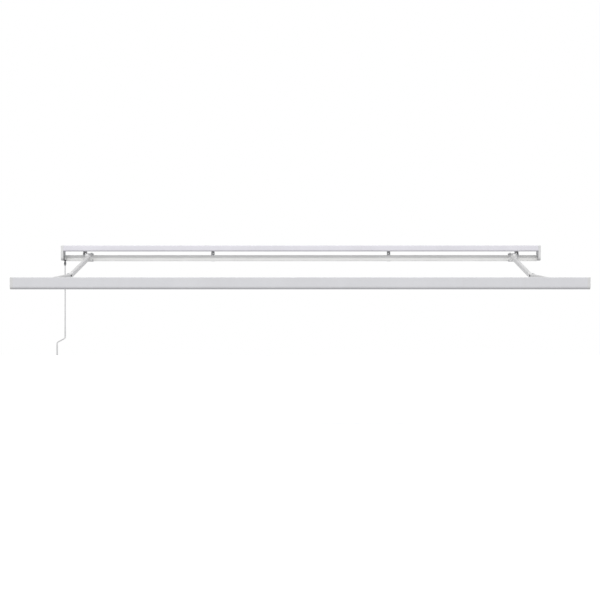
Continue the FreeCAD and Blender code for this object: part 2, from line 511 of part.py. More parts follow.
def tilt_bracket():
    # web in front of the cheeks, two lugs for the shoulder pin and a barrel on the tilt bolt
    def lug(n0, n1):
        s = fuse(lprism([(-48.5, -36, 0), (-43.6, -36, 0), (-43.6, 37, 0), (-48.5, 37, 0)], n0, n1),
                 lprism([(-46, -30, 3), (0, -23, 0.5), (0, 22, 0.5), (-30, 24, 6), (-46, 36, 2)], n0, n1), lcyl(0, 0, n0, n1, 23))
        return s

    web = lprism([(-48.5, -36, 1), (-43.6, -36, 1), (-43.6, 37, 1), (-48.5, 37, 1)], -42, 44)
    s = fuse(lug(23.3, 44), lug(-42, -23.3), web)
    s = s.cut(lcyl(0, 0, -60, 60, 8 + RUN))
    s = link(s, S, U, XI)
    barrel = cyl((-CH1 + 0.3, TILT_Y, zt(TILT_Z)), (1, 0, 0), 8.5, CH1 - CH0 - 0.6)
    tie = box(-CH1 + 0.3, -CH0 - 0.3, TILT_Y - 11, TILT_Y, zt(TILT_Z - 6), zt(TILT_Z + 8.5))
    s = fuse(s, barrel, tie)
    # keep clear of the cheeks
    s = s.cut(box(-CH1 - 12, -CH1 + 0.2, -97.2, -70, zt(-60), zt(34))).cut(box(-CH0 - 0.2, -CH0 + 12, -97.2, -70, zt(-60), zt(34)))
    s = s.cut(cyl((-CH1 - 5, TILT_Y, zt(TILT_Z)), (1, 0, 0), 5 + RUN, 80))
    s = s.cut(cyl((-CH1 - 9.7, TILT_Y, zt(TILT_Z)), (-1, 0, 0), 11.2, 30))      # room for the bolt's head
    return s


tiltb = tilt_bracket()
pin = fuse(lcyl(0, 0, -45, 47, 8), lcyl(0, 0, 44.1, 48.5, 11.5), lcyl(0, 0, -46.5, -42.1, 11.5))
pin = link(pin, S, U, XI)

# upper arm
knuckle = fuse(lcyl(0, 0, -23, 23, 21),
               lprism([(0, -21, 0), (14, -17, 4), (40, 5, 4), (58, 5, 0), (58, 43, 0), (44, 43, 4), (27, 22, 6), (0, 21, 0)], -21, 21))
co, sp = collar(UP_W, UP_H, UP_T, 2, 36, 30, 80, True)
knuckle = fuse(knuckle, co, sp).cut(lcyl(0, 0, -60, 60, 8 + RUN + 0.01))
tube_u = arm_tube(UP_W, UP_H, UP_T, True)


def at_elbow(s, x):
    s = s.copy()
    s.translate(V(x, 0, -ELBOW_DROP))
    return s


ear_pts = [(-36, 4.5, 2), (-14, -17, 3), (0, -22, 0), (0, 22, 0), (-14, 40, 8), (-36, 43.5, 0)]
ear = fuse(lcyl(0, 0, 13.9, 23, 22), lprism(ear_pts, 13.9, 23))
ear2 = fuse(lcyl(0, 0, -23, -13.9, 22), lprism(ear_pts, -23, -13.9))
fweb = lprism([(-48, 4.5, 0), (-34.5, 4.5, 1.5), (-34.5, 43.5, 1.5), (-48, 43.5, 0)], -27, 27)
fork = at_elbow(fuse(ear, ear2, fweb), ARM_L)
co, sp = collar(UP_W, UP_H, UP_T, TL - 36, TL - 2, TL - 80, TL - 30, True)
fork = fuse(fork, co, sp).cut(at_elbow(lcyl(0, 0, -60, 60, 8 + RUN), ARM_L))
epin = at_elbow(fuse(lcyl(0, 0, -23.2, 23.2, 8), lcyl(0, 0, 23.1, 27.5, 12), lcyl(0, 0, -27.5, -23.1, 12)), ARM_L)
spring = sloped(Part.makeCylinder(10, 620, V(110, 0, 0), V(1, 0, 0)).cut(Part.makeCylinder(7, 640, V(100, 0, 0), V(1, 0, 0))), True)

# forearm
tongue = fuse(lcyl(0, 0, -13.6, 13.6, 20), lprism([(0, -20, 0), (14, -14, 4), (38, 4.5, 3), (38, 30, 0), (16, 30, 5), (0, 20, 0)], -13.6, 13.6),
              lprism([(36.5, 4.5, 0), (47, 4.5, 0), (47, 35.5, 0), (36.5, 35.5, 2)], -24.5, 24.5))
tongue = tongue.cut(lcyl(0, 0, -60, 60, 8 + RUN)).cut(Part.makeCylinder(4 + RUN, 20, V(26, 18, 0), V(0, 1, 0)))
co, sp = collar(FO_W, FO_H, FO_T, 2, 36, 30, 80, False)
tongue = fuse(at_elbow(tongue, 0), co, sp)
anchor = at_elbow(fuse(Part.makeCylinder(4, 12.5, V(26, 18.5, 0), V(0, 1, 0)), Part.makeCylinder(8, 16, V(26, 30.1, 0), V(0, 1, 0))).cut(
    hexagon((26, 41, 0), (0, 1, 0), 8, 6)), 0)
tube_f = arm_tube(FO_W, FO_H, FO_T, False)
wk_pts = [(0, -16, 0), (-16, -11, 5), (-38, 4.5, 3), (-54, 4.5, 0), (-54, 35.5, 0), (-44, 35.5, 2), (-32, 15, 4), (-10, 14.5, 0), (0, 16, 0)]
wristk = fuse(lcyl(0, 0, -18, 18, 16), lprism(wk_pts, -17, 17))
wristk.translate(V(ARM_L, 0, 0))
co, sp = collar(FO_W, FO_H, FO_T, TL - 36, TL - 2, TL - 80, TL - 30, False)
wristk = fuse(wristk, co, sp).cut(lcyl(ARM_L, 0, -60, 60, 7 + RUN))

# wrist swivel: a fork on the wrist pin with a cross barrel for the levelling bolt
def swivel(bore):
    s = fuse(lcyl(0, 0, 18.3, 26, 18), lcyl(0, 0, -26, -18.3, 18),
             lprism([(0, -18, 0), (LEVEL_OUT - 4, -18, 2), (LEVEL_OUT - 4, 18, 2), (0, 18, 0)], 18.3, 26),
             lprism([(0, -18, 0), (LEVEL_OUT - 4, -18, 2), (LEVEL_OUT - 4, 18, 2), (0, 18, 0)], -26, -18.3),
             lprism([(LEVEL_OUT - 9.4, -18, 0), (LEVEL_OUT - 4, -18, 1), (LEVEL_OUT - 4, 18, 1), (LEVEL_OUT - 9.4, 18, 0)], -26, 26),
             Part.makeCylinder(8.5, 39.4, V(LEVEL_OUT, -19.7, 0), V(0, 1, 0)))
    s = s.cut(Part.makeCylinder(bore, 60, V(LEVEL_OUT, -30, 0), V(0, 1, 0)))
    s = s.cut(lcyl(0, 0, -60, 60, 7 + RUN))
    return link(s, W, U, XI)


wpin = link(fuse(lcyl(0, 0, -26.2, 26.2, 7), lcyl(0, 0, 26.1, 29.5, 10), lcyl(0, 0, -29.5, -26.1, 10)), W, U, XI)

left = {"tilt_bracket": tiltb, "shoulder_pin": pin,
        "upper_arm_knuckle": link(knuckle, S, AU, BU), "upper_arm_tube": link(tube_u, S, AU, BU), "upper_arm_fork": link(fork, S, AU, BU),
        "elbow_pin": link(epin, S, AU, BU), "arm_spring": link(spring, S, AU, BU),
        "forearm_tongue": link(tongue, E, AF, BF), "elbow_anchor_bolt": link(anchor, E, AF, BF), "forearm_tube": link(tube_f, E, AF, BF),
        "forearm_knuckle": link(wristk, E, AF, BF), "wrist_pin": wpin}
for name, s in left.items():
    save(name + "_left", s)
    save(name + "_right", mirror(s))
save("wrist_swivel_left", swivel(4 + RUN))
save("wrist_swivel_right", mirror(swivel(4.3)))

# ---------------------------------------------------------------- front bar
FR, RR, TZ, BZ = FB_FRONT, FB_FRONT + FB_D, FB_TOP, FB_BOTTOM
fx = FRONT_WIDTH / 2 - CAP_W
fc = FRONT_WIDTH / 2
LZ = WL.z - zt(0)            # height of the levelling axis and the rear slot


def fb_outline(i):
    return [(FR + i, TZ - i, max(7 - i, 1)), (RR - i, TZ - i, max(5 - i, 1)), (RR - i, BZ + i, max(6 - i, 1)), (FR + i, BZ + i, max(30 - i, 2))]


bar = along_x(fb_outline(0), -fx, fx)
t = FB_T
slot_top, slot_bot = LZ + 11, LZ - 11
# chambers: above, beside and below the rear slot, with the keder groove in the top and the valance groove in the bottom
up = along_x([(FR + t, TZ - t, 5), (RR - 27, TZ - t, 1), (RR - 27, TZ - 15, 1), (RR - t, TZ - 15, 1), (RR - t, slot_top + t, 1), (FR + t, slot_top + t, 1)], -fx - 1, fx + 1)
mid = along_x([(FR + t, slot_top, 1), (RR - 15.5, slot_top, 1), (RR - 15.5, slot_bot, 1), (FR + t, slot_bot, 1)], -fx - 1, fx + 1)
low = along_x([(FR + t, slot_bot - t, 1), (RR - t, slot_bot - t, 1), (RR - t, BZ + t, 4), (FR + 47, BZ + t, 1), (FR + 47, BZ + 15, 1), (FR + t, BZ + 30, 2)], -fx - 1, fx + 1)
bar = cut(bar, up, mid, low)
tslot = along_x(rect(RR - 13, RR - 4, LZ - 9, LZ + 9, 0.5), -fx - 1, fx + 1)
tmouth = along_x(rect(RR - 6, RR + 1, LZ - 4.5, LZ + 4.5, 0), -fx - 1, fx + 1)
keder = cyl((-fx - 1, RR - 14, zt(TZ - 7.5)), (1, 0, 0), 4.5, 2 * fx + 2)
kslot = box(-fx - 1, fx + 1, RR - 15.6, RR - 12.4, zt(TZ - 6), zt(TZ + 1))
val = cyl((-fx - 1, FR + 36, zt(BZ + 7.5)), (1, 0, 0), 4.0, 2 * fx + 2)
vslot = box(-fx - 1, fx + 1, FR + 34.6, FR + 37.4, zt(BZ - 1), zt(BZ + 6))
bar = cut(bar, tslot, tmouth, keder, kslot, val, vslot)
save("front_bar", bar)
cap = along_x(fb_outline(0), fx + 0.1, fc)
try:
    rim = [e for e in cap.Edges if e.BoundBox.XMin > fc - 0.01]
    cap = cap.makeFillet(4, rim)
except Exception as exc:
    print("cap fillet skipped", exc)
cap = cap.cut(along_x(fb_outline(3), fx - 1, fc - 5))
spig = along_x(rect(FR + t + 4, RR - t - 4, TZ - 29, TZ - 17, 2), fx - 22, fc - 4)
spig2 = along_x(rect(FR + 26, RR - t - 4, slot_bot - t - 40, slot_bot - t - 4, 2), fx - 22, fc - 4)
cap = fuse(cap, spig, spig2)
save("front_bar_end_caps", both(cap))

# brackets on the rear slot, one for each wrist
fbb = along_x(rect(RR, RR + 5, LZ - 14, LZ + 14, 0), PIV_X - 41.5, PIV_X + 41.5)
for a, b in ((-26.4, -20.0), (20.0, 26.4)):
    lugp = fuse(cyl((PIV_X + a, WL.y, WL.z), (1, 0, 0), 9, b - a), box(PIV_X + a, PIV_X + b, RR + 1, WL.y, WL.z - 9, WL.z + 9))
    fbb = fuse(fbb, lugp)
fbb = fbb.cut(cyl((PIV_X - 40, WL.y, WL.z), (1, 0, 0), 4 + RUN, 80))
tf = []
for dx in (-33.5, 33.5):
    cone = Part.makeCone(5.7, 3.0, 2.7, V(PIV_X + dx, RR + 5, zt(LZ)), V(0, -1, 0))
    fbb = fbb.cut(Part.makeCone(5.8, 3.1, 2.7, V(PIV_X + dx, RR + 5.001, zt(LZ)), V(0, -1, 0))).cut(cyl((PIV_X + dx, RR + 8, zt(LZ)), (0, -1, 0), 3 + RUN, 12))
    screw = fuse(cone, cyl((PIV_X + dx, RR + 3, zt(LZ)), (0, -1, 0), 3, 14.5))
    nut = box(PIV_X + dx - 9, PIV_X + dx + 9, RR - 11.5, RR - 4.05, zt(LZ - 8.4), zt(LZ + 8.4)).cut(cyl((PIV_X + dx, RR, zt(LZ)), (0, -1, 0), 3 + RUN, 20))
    tf += [screw, nut]
save("front_bar_brackets", both(fbb))
save("bracket_slot_fasteners", [m for s in tf for m in both(s)])
lb = fuse(bolt((PIV_X + 26.5, WL.y, WL.z), (1, 0, 0), 4, 62, 13, 5.5), hexagon((PIV_X - 26.5 - 6.5, WL.y, WL.z), (1, 0, 0), 13, 6.5))
save("levelling_bolts", both(lb))

print("S", S, "E", E, "EP", EP, "W", W, "WL", WL, "alpha", alpha)
print("worm", WX, WORM_Y, "eye", zt(EYE_Z), "handle", HX, "LZ", LZ)
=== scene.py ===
"""Looks of the folding-arm awning frame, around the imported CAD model. Metres, in the CAD's frame."""
import json
import math

import bmesh
import bpy
import numpy as np
from mathutils import Matrix, Vector


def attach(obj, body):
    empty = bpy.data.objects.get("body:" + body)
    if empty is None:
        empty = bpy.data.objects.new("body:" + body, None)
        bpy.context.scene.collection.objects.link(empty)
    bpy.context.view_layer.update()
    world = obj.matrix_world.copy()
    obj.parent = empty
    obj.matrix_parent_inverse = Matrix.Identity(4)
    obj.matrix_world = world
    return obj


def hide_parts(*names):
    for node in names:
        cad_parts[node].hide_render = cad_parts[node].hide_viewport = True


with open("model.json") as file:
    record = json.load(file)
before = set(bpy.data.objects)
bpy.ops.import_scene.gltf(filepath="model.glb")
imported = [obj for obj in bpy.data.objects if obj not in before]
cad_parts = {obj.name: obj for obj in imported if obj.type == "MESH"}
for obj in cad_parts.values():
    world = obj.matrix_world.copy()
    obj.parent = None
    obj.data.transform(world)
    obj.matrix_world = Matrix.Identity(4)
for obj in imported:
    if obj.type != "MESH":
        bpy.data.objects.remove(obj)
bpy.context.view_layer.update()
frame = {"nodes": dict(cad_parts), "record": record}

nodes = frame["nodes"]


# ---------------------------------------------------------------- node graph helpers
class Graph:
    """A small helper around one material's node tree."""

    def __init__(self, name):
        self.mat = bpy.data.materials.new(name)
        self.mat.use_nodes = True
        self.nt = self.mat.node_tree
        self.nt.nodes.clear()
        self.out = self.add("ShaderNodeOutputMaterial")
        self.bsdf = self.add("ShaderNodeBsdfPrincipled")
        self.link(self.bsdf.outputs[0], self.out.inputs[0])
        self.coord = self.add("ShaderNodeTexCoord").outputs["Object"]
        self.bumps = None

    def add(self, kind, **props):
        n = self.nt.nodes.new(kind)
        for k, v in props.items():
            setattr(n, k, v)
        return n

    def link(self, a, b):
        self.nt.links.new(a, b)

    def stretch(self, sx, sy, sz, turn=(0, 0, 0), move=(0, 0, 0)):
        m = self.add("ShaderNodeMapping")
        m.inputs["Scale"].default_value = (sx, sy, sz)
        m.inputs["Rotation"].default_value = turn
        m.inputs["Location"].default_value = move
        self.link(self.coord, m.inputs[0])
        return m.outputs[0]

    def noise(self, scale, detail=4.0, rough=0.55, at=None, distort=0.0):
        n = self.add("ShaderNodeTexNoise")
        n.inputs["Scale"].default_value = scale
        n.inputs["Detail"].default_value = detail
        n.inputs["Roughness"].default_value = rough
        n.inputs["Distortion"].default_value = distort
        self.link(at or self.coord, n.inputs["Vector"])
        return n.outputs["Fac"]

    def cells(self, scale, at=None, feature="F1", out="Distance"):
        n = self.add("ShaderNodeTexVoronoi", feature=feature)
        n.inputs["Scale"].default_value = scale
        self.link(at or self.coord, n.inputs["Vector"])
        return n.outputs[out]

    def waves(self, scale, axis="X", distort=0.0, at=None, profile="SIN"):
        n = self.add("ShaderNodeTexWave", wave_type="BANDS", bands_direction=axis, wave_profile=profile)
        n.inputs["Scale"].default_value = scale
        n.inputs["Distortion"].default_value = distort
        n.inputs["Detail"].default_value = 3.0
        self.link(at or self.coord, n.inputs["Vector"])
        return n.outputs["Fac"]

    def span(self, value, a, b, lo=0.0, hi=1.0, smooth=True):
        n = self.add("ShaderNodeMapRange", interpolation_type="SMOOTHSTEP" if smooth else "LINEAR")
        for k, v in zip(("From Min", "From Max", "To Min", "To Max"), (a, b, lo, hi)):
            n.inputs[k].default_value = v
        self.link(value, n.inputs["Value"])
        return n.outputs[0]

    def math(self, op, a, b):
        n = self.add("ShaderNodeMath", operation=op)
        for i, v in enumerate((a, b)):
            if isinstance(v, (int, float)):
                n.inputs[i].default_value = v
            else:
                self.link(v, n.inputs[i])
        return n.outputs[0]

    def mix(self, fac, a, b):
        n = self.add("ShaderNodeMix", data_type="RGBA")
        self.link(fac, n.inputs[0])
        for i, v in ((6, a), (7, b)):
            if isinstance(v, tuple):
                n.inputs[i].default_value = (*v, 1.0)
            else:
                self.link(v, n.inputs[i])
        return n.outputs[2]

    def edges(self, radius, lo=0.02, hi=0.35):
        """1 along the piece's corners, 0 on its faces."""
        bev = self.add("ShaderNodeBevel", samples=4)
        bev.inputs["Radius"].default_value = radius
        geo = self.add("ShaderNodeNewGeometry")
        dot = self.add("ShaderNodeVectorMath", operation="DOT_PRODUCT")
        self.link(bev.outputs[0], dot.inputs[0])
        self.link(geo.outputs["Normal"], dot.inputs[1])
        away = self.math("SUBTRACT", 1.0, dot.outputs["Value"])
        return self.span(away, lo, hi)

    def up(self):
        """The face's upward part, 0 to 1, where dust settles."""
        geo = self.add("ShaderNodeNewGeometry")
        sep = self.add("ShaderNodeSeparateXYZ")
        self.link(geo.outputs["Normal"], sep.inputs[0])
        return self.span(sep.outputs["Z"], 0.35, 0.95)

    def bump(self, height, strength, distance):
        n = self.add("ShaderNodeBump")
        n.inputs["Strength"].default_value = strength
        n.inputs["Distance"].default_value = distance
        self.link(height, n.inputs["Height"])
        if self.bumps is not None:
            self.link(self.bumps, n.inputs["Normal"])
        self.bumps = n.outputs[0]

    def done(self, colour, rough, metallic=0.0, metal_map=None, coat=0.0, ior=1.5):
        b = self.bsdf
        self.link(colour, b.inputs["Base Color"])
        self.link(rough, b.inputs["Roughness"])
        b.inputs["Metallic"].default_value = metallic
        if metal_map is not None:
            self.link(metal_map, b.inputs["Metallic"])
        b.inputs["IOR"].default_value = ior
        b.inputs["Coat Weight"].default_value = coat
        b.inputs["Coat Roughness"].default_value = 0.18
        if self.bumps is not None:
            self.link(self.bumps, b.inputs["Normal"])
        return self.mat


def tone(c, k):
    return tuple(min(1.0, max(0.0, v * k)) for v in c)


# ---------------------------------------------------------------- materials
def powder_coat(name, col, rough=(0.30, 0.46), peel=0.10, draw=None, dust=0.5, chip=(0.42, 0.42, 0.43), chips=0.5, streaks=0.35):
    """Powder coat over extruded or cast aluminium: cloudy tone, orange peel, settled dust, rain streaks, rubbed corners."""
    g = Graph(name)
    cloud = g.noise(2.6, 5, 0.6)
    fine = g.noise(95, 4, 0.6)
    c = g.mix(g.span(cloud, 0.3, 0.7), tone(col, 0.965), tone(col, 1.02))
    c = g.mix(g.span(fine, 0.35, 0.7, 0, 0.35), c, tone(col, 0.94))
    if streaks:
        s = g.noise(26, 6, 0.65, g.stretch(1.0, 1.0, 0.05))
        s = g.span(s, 0.56, 0.80, 0, streaks * 0.45)
        c = g.mix(s, c, (0.60, 0.59, 0.56))
    if dust:
        d = g.math("MULTIPLY", g.up(), g.span(g.noise(38, 6, 0.7), 0.40, 0.75, 0, dust * 0.6))
        c = g.mix(d, c, (0.52, 0.50, 0.46))
    m = None
    if chips:
        e = g.math("MULTIPLY", g.edges(0.0012), g.span(g.noise(210, 5, 0.7), 0.58, 0.70, 0, chips))
        c = g.mix(e, c, chip)
        m = g.math("MULTIPLY", e, 0.8)
    r = g.span(g.noise(60, 5, 0.6), 0.3, 0.7, rough[0], rough[1])
    if draw:                     # faint die lines along the profile
        if draw == "X":
            lines = g.noise(420, 2, 0.5, g.stretch(0.004, 1, 1))
        else:
            lines = g.noise(420, 2, 0.5, g.stretch(1, 0.004, 1))
        g.bump(lines, 0.10, 0.00006)
        r = g.math("ADD", r, g.span(lines, 0.3, 0.7, -0.03, 0.03))
    g.bump(g.noise(780, 3, 0.5), peel, 0.00012)
    g.bump(g.noise(9, 2, 0.5), 0.05, 0.0006)
    return g.done(c, r, metal_map=m, coat=0.10)


def cast_coat(name, col, rough=(0.36, 0.55), grain=0.35, chip=(0.40, 0.40, 0.41)):
    """Powder coat over a sand or die casting: heavier grain, painted shade darkening the corners and hollows (from
    ambient occlusion, mottled by noise), chipped edges.
    """
    g = Graph(name)
    cloud = g.noise(14, 5, 0.6)
    c = g.mix(g.span(cloud, 0.3, 0.7), tone(col, 0.95), tone(col, 1.03))
    pits = g.cells(620)
    c = g.mix(g.span(pits, 0.0, 0.22, 0.35, 0.0), c, tone(col, 0.72))
    # painted shade: ambient occlusion darkens the casting towards dark grey in its corners and hollows, broken up by
    # noise
    ao = g.add("ShaderNodeAmbientOcclusion", samples=4)
    ao.inputs["Distance"].default_value = 0.012
    hollow = g.span(ao.outputs["AO"], 0.30, 0.90, 0.38, 0.0)
    hollow_shade = g.math("MULTIPLY", hollow, g.span(g.noise(120, 5, 0.7), 0.3, 0.7, 0.4, 1.0))
    c = g.mix(hollow_shade, c, (0.30, 0.29, 0.27))
    e = g.math("MULTIPLY", g.edges(0.0014), g.span(g.noise(260, 5, 0.7), 0.50, 0.66, 0, 0.75))
    c = g.mix(e, c, chip)
    m = g.math("MULTIPLY", e, 0.85)
    d = g.math("MULTIPLY", g.up(), g.span(g.noise(46, 6, 0.7), 0.42, 0.75, 0, 0.35))
    c = g.mix(d, c, (0.50, 0.48, 0.44))
    r = g.span(g.noise(85, 5, 0.6), 0.3, 0.7, rough[0], rough[1])
    g.bump(g.noise(520, 5, 0.62), grain, 0.00022)
    g.bump(g.noise(70, 3, 0.5), 0.18, 0.0005)
    return g.done(c, r, metal_map=m, coat=0.06)


def moulded(name, col, rough=(0.38, 0.52), grain=0.22, scuff=0.5, spec_lo=0.94):
    """Moulded plastic: fine spark-eroded grain, flow clouding, paler rubbed corners and scuffs."""
    g = Graph(name)
    c = g.mix(g.span(g.noise(7, 4, 0.6), 0.3, 0.7), tone(col, spec_lo), tone(col, 1.03))
    scratch = g.noise(34, 7, 0.75, g.stretch(9.0, 0.7, 1.6, (0.4, 0.2, 0.7)))
    c = g.mix(g.span(scratch, 0.66, 0.74, 0, scuff * 0.5), c, tone(col, 1.0 + 0.22 * scuff))
    e = g.math("MULTIPLY", g.edges(0.0010), g.span(g.noise(180, 4, 0.6), 0.45, 0.7, 0, 0.5))
    c = g.mix(e, c, tuple(v + (0.85 - v) * 0.22 for v in col))
    d = g.math("MULTIPLY", g.up(), g.span(g.noise(55, 6, 0.7), 0.42, 0.8, 0, 0.28))
    c = g.mix(d, c, (0.50, 0.48, 0.44))
    r = g.span(g.noise(140, 5, 0.6), 0.3, 0.7, rough[0], rough[1])
    r = g.math("ADD", r, g.span(scratch, 0.64, 0.76, 0.0, 0.12))
    g.bump(g.noise(1500, 3, 0.6), grain, 0.00008)
    g.bump(scratch, 0.06, 0.0001)
    return g.done(c, r, ior=1.46)


def plated(name, col, rough=(0.24, 0.42), yellow=0.12, turned=None):
    """Zinc-plated steel: clouded passivation, fine turning marks, white bloom and rubbed flats."""
    g = Graph(name)
    c = g.mix(g.span(g.noise(110, 5, 0.65), 0.3, 0.7), tone(col, 0.88), tone(col, 1.06))
    c = g.mix(g.span(g.noise(60, 4, 0.6), 0.45, 0.75, 0, yellow * 2), c, (0.70, 0.62, 0.42))
    bloom = g.span(g.noise(240, 6, 0.75), 0.62, 0.80, 0, 0.5)
    c = g.mix(bloom, c, (0.72, 0.72, 0.70))
    e = g.math("MULTIPLY", g.edges(0.0007), 0.5)
    c = g.mix(e, c, tone(col, 1.25))
    r = g.span(g.noise(170, 5, 0.6), 0.3, 0.7, rough[0], rough[1])
    r = g.math("ADD", r, g.math("MULTIPLY", bloom, 0.5))
    if turned:
        g.bump(g.waves(900, turned, 0.6), 0.10, 0.00005)
    g.bump(g.noise(900, 3, 0.6), 0.12, 0.00006)
    return g.done(c, r, metallic=1.0)


def galvanised(name):
    """Hot-dip galvanised tube: spangle facets of differing tone and gloss, a seam of streaks along the tube."""
    g = Graph(name)
    cell = g.add("ShaderNodeTexVoronoi", feature="F1")
    cell.inputs["Scale"].default_value = 95
    g.link(g.coord, cell.inputs["Vector"])
    sep = g.add("ShaderNodeSeparateColor")
    g.link(cell.outputs["Color"], sep.inputs[0])
    c = g.mix(sep.outputs[0], (0.50, 0.52, 0.54), (0.70, 0.71, 0.73))
    c = g.mix(g.span(g.noise(5, 5, 0.6), 0.35, 0.7, 0, 0.4), c, (0.60, 0.60, 0.60))
    streak = g.noise(75, 5, 0.6, g.stretch(0.02, 1, 1))
    c = g.mix(g.span(streak, 0.58, 0.75, 0, 0.3), c, (0.44, 0.45, 0.46))
    r = g.math("ADD", g.span(sep.outputs[1], 0, 1, 0.30, 0.48, False), g.span(streak, 0.4, 0.7, 0, 0.08))
    g.bump(sep.outputs[2], 0.05, 0.0001)
    g.bump(g.noise(600, 4, 0.6), 0.10, 0.00008)
    return g.done(c, r, metallic=0.85)


def cut_brass(name):
    g = Graph(name)
    c = g.mix(g.span(g.noise(70, 5, 0.6), 0.3, 0.7), (0.55, 0.40, 0.17), (0.76, 0.60, 0.30))
    c = g.mix(g.span(g.noise(240, 5, 0.7), 0.60, 0.75, 0, 0.5), c, (0.22, 0.15, 0.07))
    e = g.math("MULTIPLY", g.edges(0.0006), 0.6)
    c = g.mix(e, c, (0.90, 0.76, 0.45))
    r = g.span(g.noise(130, 5, 0.6), 0.3, 0.7, 0.22, 0.42)
    g.bump(g.noise(160, 3, 0.5, g.stretch(6, 1, 1)), 0.12, 0.0001)
    return g.done(c, r, metallic=1.0)


def dark_metal(name, col, rough=(0.34, 0.55), oil=0.3, wear=(0.42, 0.42, 0.43), wear_amount=0.6, grain=0.25, metallic=0.9):
    """Black oxide, dip coat or oiled spring steel: mottled film worn to bare metal on the corners."""
    g = Graph(name)
    c = g.mix(g.span(g.noise(85, 5, 0.65), 0.3, 0.7), tone(col, 0.75), tone(col, 1.25))
    c = g.mix(g.span(g.noise(40, 5, 0.7), 0.62, 0.8, 0, oil), c, (0.10, 0.075, 0.05))
    e = g.math("MULTIPLY", g.edges(0.0009), g.span(g.noise(220, 5, 0.7), 0.42, 0.62, 0, wear_amount))
    c = g.mix(e, c, wear)
    r = g.span(g.noise(150, 5, 0.6), 0.3, 0.7, rough[0], rough[1])
    g.bump(g.noise(700, 4, 0.6), grain, 0.0001)
    return g.done(c, r, metallic=metallic)


def cast_zinc(name, col):
    """Raw grey casting: coarse grain, dark pits, polished rubbing spots."""
    g = Graph(name)
    c = g.mix(g.span(g.noise(60, 5, 0.65), 0.3, 0.7), tone(col, 0.82), tone(col, 1.12))
    c = g.mix(g.span(g.cells(480), 0.0, 0.25, 0.45, 0.0), c, tone(col, 0.5))
    e = g.math("MULTIPLY", g.edges(0.0012), g.span(g.noise(150, 4, 0.6), 0.4, 0.6, 0.1, 0.7))
    c = g.mix(e, c, (0.55, 0.55, 0.56))
    r = g.span(g.noise(120, 5, 0.6), 0.3, 0.7, 0.40, 0.62)
    g.bump(g.noise(420, 5, 0.65), 0.45, 0.0002)
    return g.done(c, r, metallic=0.55)


WHITE = (0.826, 0.812, 0.858)
NEUTRAL = (0.800, 0.798, 0.790)
CAST = (0.905, 0.903, 0.893)
FRONT = (0.735, 0.735, 0.750)
GREY = (0.84, 0.84, 0.835)

M = {
    "white_profile": powder_coat("profile_powder_coat", WHITE, draw="X"),
    "white_arm": powder_coat("arm_powder_coat", (0.745, 0.740, 0.728), draw="Y", dust=0.4),
    "white_casting": cast_coat("casting_powder_coat", CAST),
    "front_bar_casting": cast_coat("front_bar_bracket_coat", tone(CAST, 0.92)),
    "front_profile": powder_coat("front_bar_powder_coat", FRONT, draw="X", dust=0.35),
    "white_steel": powder_coat("torsion_bar_coat", (0.930, 0.928, 0.905), draw="X", dust=0.4),
    "bracket_grey": powder_coat("bracket_grey_coat", GREY, rough=(0.38, 0.55), peel=0.2, chips=0.7, streaks=0.5),
    # painted shade: the end plates get a darker copy of the bracket grey, standing for the shade they sit in
    "end_plate": powder_coat("end_plate_shade_coat", (0.56, 0.56, 0.56), rough=(0.38, 0.55), peel=0.2, chips=0.7, streaks=0.4),
    "front_cap": moulded("front_cap_plastic", (0.735, 0.733, 0.722)),
    "white_plastic": moulded("cover_plastic", (0.770, 0.768, 0.762)),
    "roller_steel": galvanised("roller_galvanised"),
    "grey_plastic": moulded("grey_plastic", (0.33, 0.34, 0.35)),
    "wheel_brass": cut_brass("worm_wheel_brass"),
    "black_eye": dark_metal("eye_dip_coat", (0.055, 0.055, 0.06), rough=(0.32, 0.5), metallic=0.0, wear=(0.30, 0.30, 0.31)),
    "zinc_hook": cast_zinc("hook_casting", (0.235, 0.24, 0.245)),
    "crank_paint": powder_coat("crank_powder_coat", (0.725, 0.722, 0.72), dust=0, chips=0.5, streaks=0.2),
    "grip_plastic": moulded("grip_plastic", (0.71, 0.71, 0.705), grain=0.3, scuff=0.7),
    "dark_plastic": moulded("cap_plastic", (0.60, 0.60, 0.60)),
    "dark_steel": dark_metal("black_oxide_steel", (0.085, 0.085, 0.09)),
    "spring_steel": dark_metal("oiled_spring_steel", (0.26, 0.26, 0.28), rough=(0.22, 0.42), oil=0.6, wear_amount=0.3),
    "zinc_steel": plated("zinc_plated_steel", (0.62, 0.63, 0.64), turned="X"),
}

SLOT = {s["node"]: s["material_slot"] for s in frame["record"].get("subparts", []) if s.get("material_slot")}
LOOK = {
    "front_bar": "front_profile",
    "front_bar_end_caps": "front_cap",
    # the end plates take that darker grey, which is painted shade
    "end_plates": "end_plate",
    "upper_arm_tube_left": "white_arm", "upper_arm_tube_right": "white_arm",
    "forearm_tube_left": "white_arm", "forearm_tube_right": "white_arm",
}
for name, o in nodes.items():
    look = LOOK.get(name) or SLOT.get(name, "white_casting")
    o.data.materials.clear()
    o.data.materials.append(M[look])


# ---------------------------------------------------------------- pieces made here
def axis_of(node):
    """Centre, axis and half length of a long round CAD piece, from its own vertices."""
    co = np.array([v.co for v in nodes[node].data.vertices], float)
    mid = (co.max(0) + co.min(0)) / 2
    _, _, vt = np.linalg.svd(co - co.mean(0), full_matrices=False)
    d = vt[0]
    along = (co - mid) @ d
    mid = mid + d * (along.max() + along.min()) / 2
    half = (along.max() - along.min()) / 2
    rad = np.linalg.norm((co - mid) - np.outer((co - mid) @ d, d), axis=1).max()
    return Vector(mid), Vector(d), half, rad


def piece(name, bm, mat, body, stands_for):
    me = bpy.data.meshes.new(name)
    bm.normal_update()
    bm.to_mesh(me)
    bm.free()
    o = bpy.data.objects.new(name, me)
    bpy.context.scene.collection.objects.link(o)
    me.materials.append(mat)
    for p in me.polygons:
        p.use_smooth = True
    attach(o, body)
    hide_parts(stands_for)
    return o


